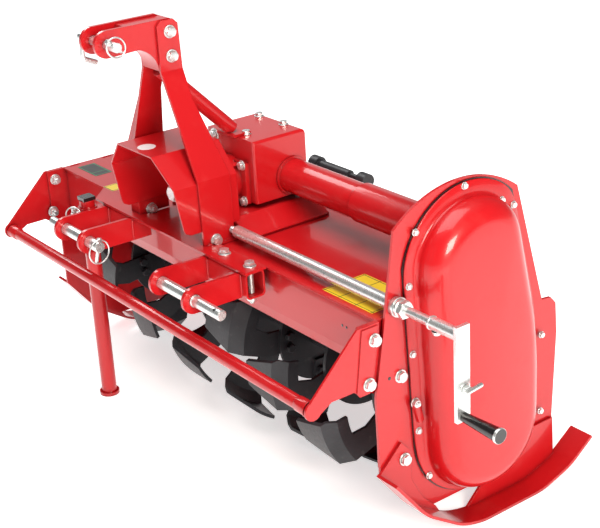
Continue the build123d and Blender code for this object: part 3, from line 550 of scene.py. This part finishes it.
def fasten_tines():
    """Two painted bolt heads through the shank of each tine and its disc."""
    discs, pitch, first_turn, twist = 7, 0.154, 99, 20
    tines, bolt_reach, half_spread = 4, 0.088, 0.014
    shank_faces = (0.011, 0.004)
    head = tine_bolt_rings()
    for disc in range(discs):
        bm = bmesh.new()
        for tine in range(tines):
            turn = radians(first_turn + twist * disc + 90 * tine)
            spoke, aside = Vector((0, -sin(turn), cos(turn))), Vector((0, cos(turn), sin(turn)))
            face = (disc - (discs - 1) / 2) * pitch + shank_faces[tine % 2]
            for offset in (-half_spread, half_spread):
                place = rotor_axis + X * face + spoke * bolt_reach + aside * offset
                stand = aim(place, X, turn)
                skin(bm, [[stand @ point for point in ring] for ring in head])
        name = f"tine_bolts_{disc + 1}"
        place_piece(name, mesh_of(name, bm, black_paint, 28), "rotor")


fasten_cover()
fasten_chain_adjuster()
fasten_ends()
fasten_hitch_clamp()
fasten_arms()
fasten_gearbox()
shade_lower_pin_hole()
fasten_tines()


# ---------------------------------------------------------------- shafts and screws
def make_splined_shaft():
    """The six-spline input shaft, with the groove that a yoke's catch drops into."""
    low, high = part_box("pto_shaft")
    outer, root = 0.0175, 0.0148
    seat = (high.x - low.x) / 2
    length = high.y - low.y
    stub = 0.096

    def spline_ring(height, major, minor):
        crest = ((-14, major), (-5, major), (5, major), (14, major))
        valley = ((17, minor), (30, minor), (43, minor))
        ring = []
        for spline in range(6):
            for turn, radius in crest + valley:
                angle = radians(60 * spline + turn)
                ring.append(Vector((radius * cos(angle), radius * sin(angle), height)))
        return ring

    rings = [circle(seat, 0, 42), circle(seat, length - stub, 42), circle(outer, length - stub, 42)]
    rings += [circle(outer, length - stub + 0.006, 42), spline_ring(length - stub + 0.010, outer, root)]
    # distance from the tip, radius of the splines' crests
    groove = ((0.028, outer), (0.026, root), (0.019, root), (0.017, outer), (0.003, outer))
    for from_tip, size in groove:
        rings.append(spline_ring(length - from_tip, size, min(root, size)))
    rings.append(spline_ring(length, outer - 0.003, root - 0.001))
    bm = bmesh.new()
    skin(bm, rings)
    mesh = mesh_of("splined_input_shaft", bm, zinc, 25)
    place = Vector((shaft_axis.x, high.y, shaft_axis.z))
    shaft = place_piece("splined_input_shaft", mesh, "pto_shaft", aim(place, -Y))
    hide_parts("pto_shaft")


def make_shift_screw():
    """The screw that draws the carriage along, with its 6 mm thread cut as a helix."""
    low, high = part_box("shift_screw")
    outer, pitch, around = (high.y - low.y) / 2, 0.006, 30
    thread_depth, steps_per_turn = 0.0016, 8
    length = high.x - low.x
    rings = []
    for step in range(int(length / pitch * steps_per_turn) + 1):
        height = min(step * pitch / steps_per_turn, length)
        ring = []
        for side in range(around):
            phase = (height / pitch - side / around) % 1.0
            depth = thread_depth * min(1, max(0, 4 * abs(phase - 0.5) - 0.5))
            angle = 2 * pi * side / around
            radius = outer - depth
            ring.append(Vector((radius * cos(angle), radius * sin(angle), height)))
        rings.append(ring)
    bm = bmesh.new()
    skin(bm, rings)
    mesh = mesh_of("shift_screw_thread", bm, zinc, 40)
    place = Vector((low.x, (low.y + high.y) / 2, (low.z + high.z) / 2))
    screw = place_piece("shift_screw_thread", mesh, "carriage", aim(place, X))
    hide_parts("shift_screw")


# ---------------------------------------------------------------- chain-case cover
def arc_through(first, middle, last, steps=40):
    """Points of the circular arc from first to last that passes through middle, in a plane."""
    start, end = Vector(first), Vector(last)
    to_middle, to_end = Vector(middle) - start, end - start
    middle_square, end_square = to_middle.length_squared, to_end.length_squared
    twice = 2 * to_middle.cross(to_end)
    right = middle_square * to_end.y - end_square * to_middle.y
    rise = end_square * to_middle.x - middle_square * to_end.x
    centre = start + Vector((right, rise)) / twice
    first_turn = atan2(start.y - centre.y, start.x - centre.x)
    last_turn = atan2(end.y - centre.y, end.x - centre.x)
    sweep = -((first_turn - last_turn) % (2 * pi))
    radius = (start - centre).length
    angles = [first_turn + sweep * step / steps for step in range(steps + 1)]
    return [centre + Vector((cos(angle), sin(angle))) * radius for angle in angles]


def cover_path(inset, count=168):
    """The cover's outline drawn in by inset, as evenly spaced points (behind the rotor axis, height)."""
    lowest = 0.049 + 0.4 * inset if inset < dome_margin else 0.032 + inset
    crown_end = (0.118 - 0.75 * inset, 0.640 - 0.75 * inset)
    crown = arc_through((-0.154 + inset, 0.560), (-0.014, 0.688 - inset), crown_end)
    back = [Vector((0.176 - inset, 0.387)), Vector((0.183 - inset, 0.300))]
    sole = arc_through((0.183 - inset, 0.206), (0.035, lowest), (-0.136 + inset, 0.202))
    corners = crown + back + sole
    lengths = [(after - before).length for before, after in zip(corners, corners[1:] + corners[:1])]
    whole = sum(lengths)
    path = []
    for step in range(count):
        left = whole * step / count
        index = 0
        while left > lengths[index]:
            left -= lengths[index]
            index += 1
        path.append(corners[index].lerp(corners[(index + 1) % len(corners)], left / lengths[index]))
    smoothing_rounds = 12
    for _ in range(smoothing_rounds):
        path = [(path[i - 1] + 2 * path[i] + path[(i + 1) % count]) / 4 for i in range(count)]
    return path


def make_cover_dome():
    """The pressed chain-case cover: flange, root, rounded shoulder and a slightly crowned face."""
    low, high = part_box("chain_cover")
    depth, shoulder, crown_rise, root = high.x - low.x, 0.046, 0.005, 0.007
    root_start = dome_margin - root
    # inset from the outline, height over the plate
    profile = [(0.0005, 0.0), (0.0002, 0.001), (0.0002, 0.003)]
    profile += [(0.0012, cover_flange), (root_start, cover_flange)]
    for step in range(1, 5):
        turn = pi / 2 * step / 4
        profile.append((root_start + root * sin(turn), cover_flange + root - root * cos(turn)))
    foot = depth - crown_rise - shoulder
    for step in range(17):
        turn = pi / 2 * 0.92 * step / 16
        profile.append((dome_margin + shoulder * (1 - cos(turn)), foot + shoulder * sin(turn)))
    edge_height = profile[-1][1]
    rings = []
    for inset, height in profile:
        ring = [Vector((low.x + height, rotor_axis.y + behind, level)) for behind, level in cover_path(inset)]
        rings.append(ring)
    rim = rings[-1]
    middle = sum(rim, origin) / len(rim)
    crown_rings = 9
    for step in range(1, crown_rings):
        share = step / crown_rings
        rise = (depth - edge_height) * (1 - (1 - share) ** 2)
        ring = [point.lerp(middle, share) for point in rim]
        for point in ring:
            point.x = low.x + edge_height + rise
        rings.append(ring)
    bm = bmesh.new()
    skin(bm, rings)
    cover = place_piece("cover_dome", mesh_of("cover_dome", bm, red_paint, 50), "frame")
    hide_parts("chain_cover")


# ---------------------------------------------------------------- lynch pins and the crank's fittings
def make_lynch_pin(name, body, place, up, facing, stud=0.058, loop=0.026):
    """A stud through a pin's end and the sprung ring that snaps over it."""
    bm = bmesh.new()
    half = stud / 2
    profile = ((0.0012, -half), (0.0038, -half + 0.006), (0.0040, half - 0.012), (0.0062, half - 0.010))
    profile += ((0.0066, half - 0.003), (0.0045, half))
    skin(bm, [circle(radius, height, 18) for radius, height in profile])
    bmesh.ops.transform(bm, matrix=aim(origin, up), verts=bm.verts)
    across = up.cross(facing).normalized()
    wire_radius, stand_off, around = 0.0017, 0.006, 40
    wire = []
    for step in range(around):
        angle = 2 * pi * step / around
        wire.append(facing * stand_off + up * (loop * cos(angle)) + across * (0.9 * loop * sin(angle)))
    skin(bm, tube_rings(wire, wire_radius, 10, closed=True), closed=True)
    mesh = mesh_of(name, bm, zinc)
    place_piece(name, mesh, body, Matrix.Translation(place))


def make_lynch_pins():
    """The lynch pins of the left lower pin, the top pin and the stand leg."""
    from_end = 0.012
    low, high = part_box("lower_pin_left")
    middle = (low + high) / 2
    lean = Vector((0, 0.24, 0.97)).normalized()
    place = Vector((high.x - from_end, middle.y, middle.z - 0.012))
    make_lynch_pin("lynch_pin_lower", "carriage", place, lean, X)
    low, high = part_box("top_pin")
    middle = (low + high) / 2
    lean = Vector((0, -0.75, 0.66)).normalized()
    place = Vector((high.x - from_end, middle.y, middle.z))
    make_lynch_pin("lynch_pin_top", "carriage", place, lean, X, 0.044, 0.021)
    low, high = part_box("leg_socket")
    middle = (low + high) / 2
    stub = Vector((middle.x, low.y, 0.462))
    stub_ends = [stub + Y * 0.001, stub - Y * 0.018]
    make_round_bar("leg_pin", "carriage", stub_ends, 0.006, zinc)
    toward = Vector((0.7, -0.7, 0)).normalized()
    make_lynch_pin("lynch_pin_leg", "carriage", stub - Y * from_end, Z, toward, 0.036, 0.0195)


def make_round_bar(name, body, points, radius, finish):
    bm = bmesh.new()
    skin(bm, tube_rings(points, radius, 16))
    return place_piece(name, mesh_of(name, bm, finish), body)


def bend(points, radius, steps=6):
    """The path through points with its corners rounded."""
    path = [points[0]]
    for before, corner, after in zip(points, points[1:], points[2:]):
        start = corner + (before - corner).normalized() * radius
        end = corner + (after - corner).normalized() * radius
        for step in range(steps + 1):
            share = step / steps
            path.append(start.lerp(corner, share).lerp(corner.lerp(end, share), share))
    return path + [points[-1]]


def make_top_pin_handle():
    """The bent handle at the far end of the top pin."""
    low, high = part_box("top_pin")
    middle = (low + high) / 2
    start = Vector((low.x + 0.006, middle.y, middle.z))
    points = [start + X * 0.02, start]
    points += [start + Vector((0, behind, -drop)) for behind, drop in ((-0.006, 0.042), (0.024, 0.056))]
    make_round_bar("top_pin_handle", "carriage", bend(points, 0.008), 0.0055, zinc)


def make_grip_end():
    """The bright ring in the end of the grip."""
    low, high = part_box("crank_grip")
    middle = (low + high) / 2
    bm = bmesh.new()
    outer, inner, back, front = 0.0144, 0.0128, -0.005, -0.0001
    profile = ((inner, back), (outer, back), (outer, -0.0010), (outer - 0.0005, front), (inner, front))
    skin(bm, [circle(radius, height, 40) for radius, height in profile], True)
    mesh = mesh_of("grip_end_ring", bm, zinc)
    place = Vector((high.x, middle.y, middle.z))
    place_piece("grip_end_ring", mesh, "crank", aim(place, X))


def make_crank_nut():
    """Washer, collar and nut where the crank turns on the side plate."""
    bm = bmesh.new()
    skin(bm, [circle(0.019, 0.0085), circle(0.019, 0.0105), circle(0.0185, 0.0112)])
    collar = [circle(0.0165, 0.0112), circle(0.0172, 0.0122), circle(0.0172, 0.018), circle(0.0150, 0.0195)]
    skin(bm, collar)
    nut = [hexagon(0.0150, 0.0195, 0.0158), hexagon(0.0150, 0.0205)]
    nut += [hexagon(0.0150, 0.029), hexagon(0.0150, 0.030, 0.0156)]
    skin(bm, nut)
    mesh = mesh_of("crank_nut", bm, zinc, 28)
    place = Vector((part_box("side_plate")[1].x, crank_axis.y, crank_axis.z))
    place_piece("crank_nut", mesh, "crank", aim(place, X))


def make_crank_fittings():
    """The crank socket's lip and set screw, and the clamping screw of the grip."""
    low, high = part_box("crank_arm")
    socket_foot = Vector((low.x + 0.014, crank_axis.y, crank_axis.z - 0.012))
    fasten("crank_set_screw", "bolt", 0.008, "crank", socket_foot, -Z)
    bm = bmesh.new()
    lip = ((0.0122, 0), (0.0132, 0.001), (0.0132, 0.004), (0.0122, 0.005))
    skin(bm, [circle(radius, height, 32) for radius, height in lip])
    mesh = mesh_of("crank_socket_lip", bm, zinc, 28)
    place = Vector((low.x, crank_axis.y, crank_axis.z))
    place_piece("crank_socket_lip", mesh, "crank", aim(place, X))
    grip_screw = Vector((high.x, crank_axis.y + 0.002, 0.398))
    fasten("crank_clamp_nut", "nut", 0.010, "crank", grip_screw, X)
    bm = bmesh.new()
    bar = ((0.0030, -0.010), (0.0046, -0.009), (0.0046, 0.027), (0.0036, 0.029))
    skin(bm, [circle(radius, height, 18) for radius, height in bar])
    mesh = mesh_of("crank_clamp_bar", bm, zinc)
    lean = Vector((0, 0.99, 0.10)).normalized()
    place_piece("crank_clamp_bar", mesh, "crank", aim(grip_screw + X * 0.012, lean))


make_splined_shaft()
make_shift_screw()
make_cover_dome()
make_lynch_pins()
make_top_pin_handle()
make_crank_nut()
make_crank_fittings()
make_grip_end()


# ---------------------------------------------------------------- welds
def weld(name, body, points, radius=0.0024, closed=False):
    """A rippled bead along points, under the paint."""
    step = 0.0016
    path = []
    ends = points[1:] + points[:1] if closed else points[1:]
    for start, end in zip(points, ends):
        count = max(1, int((end - start).length / step))
        path += [start.lerp(end, index / count) for index in range(count)]
    if not closed:
        path.append(points[-1])

    def ripple(index):
        taper = 1.0 if closed else min(1.0, 0.35 + 0.2 * index, 0.35 + 0.2 * (len(path) - 1 - index))
        return radius * taper * (0.86 + 0.22 * abs(sin(0.9 * index)))

    bm = bmesh.new()
    skin(bm, tube_rings(path, ripple, 8, closed), closed)
    place_piece(name, mesh_of(name, bm, red_paint, 60), body)


def ring_path(centre, radius, count=72):
    turns = [2 * pi * step / count for step in range(count)]
    return [centre + Vector((0, radius * cos(turn), radius * sin(turn))) for turn in turns]


def weld_carriage():
    """Beads at the mast arms' feet, the hitch tubes and their ears, the saddle and the axle tube."""
    plate_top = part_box("carriage_plate")[1].z
    bead_off, arm_front, arm_back, ear_thickness, set_in = 0.0005, -0.232, -0.162, 0.008, 0.004
    for side, name in sides:
        face = side * (arm_outer_face[name] + bead_off)
        start = on_carriage(face, arm_front, plate_top)
        end = on_carriage(face, arm_back, plate_top)
        weld(f"arm_foot_weld_{name}", "carriage", [start, end])
        tube_low, tube_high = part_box(f"hitch_tube_{name}")
        ears_low, ears_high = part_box(f"lower_ears_{name}")
        ear_faces = (ears_low.x, ears_low.x + ear_thickness, ears_high.x - ear_thickness, ears_high.x)
        for number, face in enumerate(ear_faces):
            foot = Vector((face, tube_low.y, tube_low.z + set_in))
            top = Vector((face, tube_low.y, tube_high.z - set_in))
            weld(f"ear_weld_{name}_{number + 1}", "carriage", [foot, top])
        front = [Vector((tube_low.x + set_in, tube_low.y + set_in, tube_high.z))]
        front.append(Vector((tube_high.x - set_in, tube_low.y + set_in, tube_high.z)))
        weld(f"hitch_tube_weld_{name}", "carriage", front, 0.0018)
    low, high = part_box("saddle")
    for number, across in enumerate((low.x, high.x)):
        seam = [Vector((across, low.y + 0.006, low.z)), Vector((across, high.y - 0.006, low.z))]
        weld(f"saddle_weld_{number + 1}", "carriage", seam)
    axle = Vector((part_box("gearbox")[1].x, rotor_axis.y + 0.014, 0.560))
    weld("axle_tube_weld", "carriage", ring_path(axle, 0.0375), 0.0026, True)


def make_guard_bar_sleeves():
    """The short sockets that hold the guard bar's ends inside the end plates."""
    low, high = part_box("guard_bar")
    middle = (low + high) / 2
    profile = ((0.0160, 0.0), (0.0160, 0.004), (0.0148, 0.005), (0.0148, 0.030), (0.0134, 0.033))
    for side, name in sides:
        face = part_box(f"end_plate_{name}")[0 if side > 0 else 1].x
        bm = bmesh.new()
        skin(bm, [circle(radius, height, 40) for radius, height in profile])
        mesh = mesh_of(f"guard_bar_sleeve_{name}", bm, red_paint)
        place = aim(Vector((face, middle.y, middle.z)), -X * side)
        place_piece(f"guard_bar_sleeve_{name}", mesh, "frame", place)


def weld_frame():
    """The bead round the outer sleeve, and short beads along the hood's ends."""
    low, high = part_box("outer_sleeve")
    centre = Vector((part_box("side_plate")[0].x, (low.y + high.y) / 2, (low.z + high.z) / 2))
    weld("sleeve_weld", "frame", ring_path(centre, (high.z - low.z) / 2), 0.003, True)
    low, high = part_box("hood")
    bead_length = 0.03
    for side, name in sides:
        edge = high.x if side > 0 else low.x
        for number, behind in enumerate((-0.19, -0.10, -0.01, 0.06)):
            start = on_frame(0, behind, high.z)
            start.x = edge - side * 0.001
            weld(f"hood_weld_{name}_{number + 1}", "frame", [start, start + Y * bead_length], 0.0020)


weld_carriage()
make_guard_bar_sleeves()
weld_frame()


# ---------------------------------------------------------------- blank labels
def make_label_finish(name, field, line, frame_at, dividers):
    """A plain vinyl field with a thin printed frame and divider lines, and no words."""
    finish = Finish(name, {"IOR": 1.45, "Coat Roughness": 0.1})
    axes = [finish.node("SeparateXYZ", {}, {"Vector": finish.place}, index) for index in (0, 1)]
    line_half, frame_in = 0.0009, 0.004

    def size_of(value):
        return finish.node("Math", {"operation": "ABSOLUTE"}, {0: value})

    def line_at(value, place):
        return 1 - finish.band(size_of(value - place), line_half * 0.8, line_half * 1.2)

    lines = [line_at(size_of(axis), half - frame_in) for axis, half in zip(axes, frame_at)]
    lines += [line_at(axes[0], divider) for divider in dividers]
    marks = finish.band(sum(lines), 0.2, 0.6)
    rub = finish.noise(0.02, 4)
    finish.paint(
        colour=finish.mix(marks, finish.mix(rub, field, [0.93 * part for part in field]), line),
        roughness=0.30 + 0.12 * rub,
        coat=0.3 * (1 - rub),
    )
    return finish.material


def make_label(name, low, high, height, finish):
    """A thin rounded sticker on a level face between two corners given as across and behind."""
    half_width, half_depth, corner, thickness = (high[0] - low[0]) / 2, (high[1] - low[1]) / 2, 0.003, 0.0003
    ring = []
    for quarter, (right, back) in enumerate(((1, 1), (-1, 1), (-1, -1), (1, -1))):
        for step in range(5):
            angle = pi / 2 * (quarter + step / 4)
            x = right * (half_width - corner) + corner * cos(angle)
            y = back * (half_depth - corner) + corner * sin(angle)
            ring.append((x, y))
    bm = bmesh.new()
    skin(bm, [[Vector((x, y, level)) for x, y in ring] for level in (0.0, thickness)])
    place = on_frame((low[0] + high[0]) / 2, (low[1] + high[1]) / 2, height)
    place_piece(name, mesh_of(name, bm, finish), "frame", Matrix.Translation(place))


def make_labels():
    """The three blank labels on top of the hood."""
    hood_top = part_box("hood")[1].z
    yellow, black = (0.90, 0.66, 0.03), (0.02, 0.02, 0.02)
    wide = make_label_finish("wide_blank_label", yellow, black, (0.073, 0.052), (-0.024, 0.024))
    make_label("wide_blank_label", (0.419, -0.190), (0.565, -0.086), hood_top, wide)
    small = make_label_finish("small_blank_label", yellow, black, (0.0215, 0.020), ())
    make_label("small_blank_label", (-0.393, -0.204), (-0.350, -0.165), hood_top, small)
    plate = make_label_finish("dark_blank_label", black, (0.03, 0.30, 0.10), (0.046, 0.024), (0.02,))
    make_label("dark_blank_label", (-0.565, -0.178), (-0.473, -0.132), hood_top, plate)


def make_round_label():
    """A plain white sticker on top of the shaft guard."""
    finish = Finish("white_blank_label", {"IOR": 1.45, "Coat Weight": 0.3})
    rub = finish.noise(0.01, 3)
    finish.paint(colour=finish.mix(rub, (0.90, 0.90, 0.90), (0.84, 0.84, 0.85)), roughness=0.3 + 0.1 * rub)
    radius, thickness, sunk = 0.019, 0.0003, 0.0001
    bm = bmesh.new()
    skin(bm, [circle(radius, 0.0, 40), circle(radius, thickness, 40)])
    place = on_carriage(-0.009, -0.278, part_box("pto_shield")[1].z - sunk)
    mesh = mesh_of("round_blank_label", bm, finish.material)
    place_piece("round_blank_label", mesh, "carriage", Matrix.Translation(place))


make_labels()
make_round_label()


# ---------------------------------------------------------------- studio
def make_studio():
    """A pale floor, a faint sky and five soft lamps."""
    floor_half = 150.0
    mesh = bpy.data.meshes.new("studio_floor")
    corners = [(-floor_half, -floor_half, 0), (floor_half, -floor_half, 0)]
    corners += [(floor_half, floor_half, 0), (-floor_half, floor_half, 0)]
    mesh.from_pydata(corners, [], [(0, 1, 2, 3)])
    floor = bpy.data.objects.new("studio_floor", mesh)
    bpy.context.scene.collection.objects.link(floor)
    pale = Finish("pale_floor", {"Roughness": 0.7, "Specular IOR Level": 0.1, "Emission Strength": 1.0})
    distance = pale.node("VectorMath", {"operation": "LENGTH"}, {0: pale.place}, "Value")
    far = pale.band(distance, 0.3, 1.6)
    pale.paint(
        colour=pale.mix(pale.noise(0.9, 2), (0.93, 0.93, 0.93), (0.95, 0.95, 0.95)),
        glow=pale.mix(far, (0.60, 0.60, 0.60), (0.97, 0.97, 0.97)),
    )
    mesh.materials.append(pale.material)

    world = bpy.data.worlds.new("studio_light")
    world.use_nodes = True
    sky = world.node_tree.nodes["Background"]
    sky.inputs["Color"].default_value = (1, 1, 1, 1)
    sky.inputs["Strength"].default_value = 0.10
    bpy.context.scene.world = world
    bpy.context.scene.view_settings.view_transform = "Standard"

    white, warm = (1.0, 1.0, 1.0), (1.0, 0.92, 0.82)
    # name, place, aimed at, width, height, power, colour
    lamps = (
        ("softbox_overhead", (0.2, -0.4, 3.2), (0, 0, 0.3), 2.6, 2.2, 72, white),
        ("softbox_front", (0.4, -3.4, 1.9), (0, 0, 0.4), 2.4, 1.6, 2, white),
        ("softbox_side", (3.8, -1.0, 2.0), (0.2, 0, 0.4), 1.4, 1.4, 145, warm),
        ("softbox_left", (-2.6, 0.2, 2.4), (0, 0, 0.5), 1.3, 1.2, 30, white),
        ("softbox_back", (-3.0, 2.1, 1.6), (0, 0, 0.5), 2.3, 1.4, 5.5, white),
    )
    for name, place, target, width, height, power, colour in lamps:
        light = bpy.data.lights.new(name, "AREA")
        light.shape = "RECTANGLE"
        light.size = width
        light.size_y = height
        light.energy = power
        light.color = colour
        lamp = bpy.data.objects.new(name, light)
        lamp.location = place
        lamp.rotation_euler = (Vector(target) - Vector(place)).to_track_quat("-Z", "Y").to_euler()
        bpy.context.scene.collection.objects.link(lamp)


def make_camera():
    """The camera looks down from the front right, with a slight roll."""
    azimuth, elevation, roll = radians(55.1), radians(22.0), radians(-3.7)
    target = Vector((0.00505, -0.0198, 0.4506))
    distance = 2.818
    back = Vector((sin(azimuth) * cos(elevation), -cos(azimuth) * cos(elevation), sin(elevation)))
    level = (-back).cross(Z).normalized()
    up = level.cross(-back)
    across = level * cos(roll) + up * sin(roll)
    upright = up * cos(roll) - level * sin(roll)
    data = bpy.data.cameras.new("camera")
    data.lens = 80.45
    data.sensor_width = 36.0
    data.shift_x = 0.0345
    data.shift_y = -0.042
    camera = bpy.data.objects.new("camera", data)
    turn = Matrix((across, upright, back)).transposed()
    camera.matrix_world = Matrix.Translation(target + back * distance) @ turn.to_4x4()
    bpy.context.scene.collection.objects.link(camera)
    bpy.context.scene.camera = camera


make_studio()
make_camera()
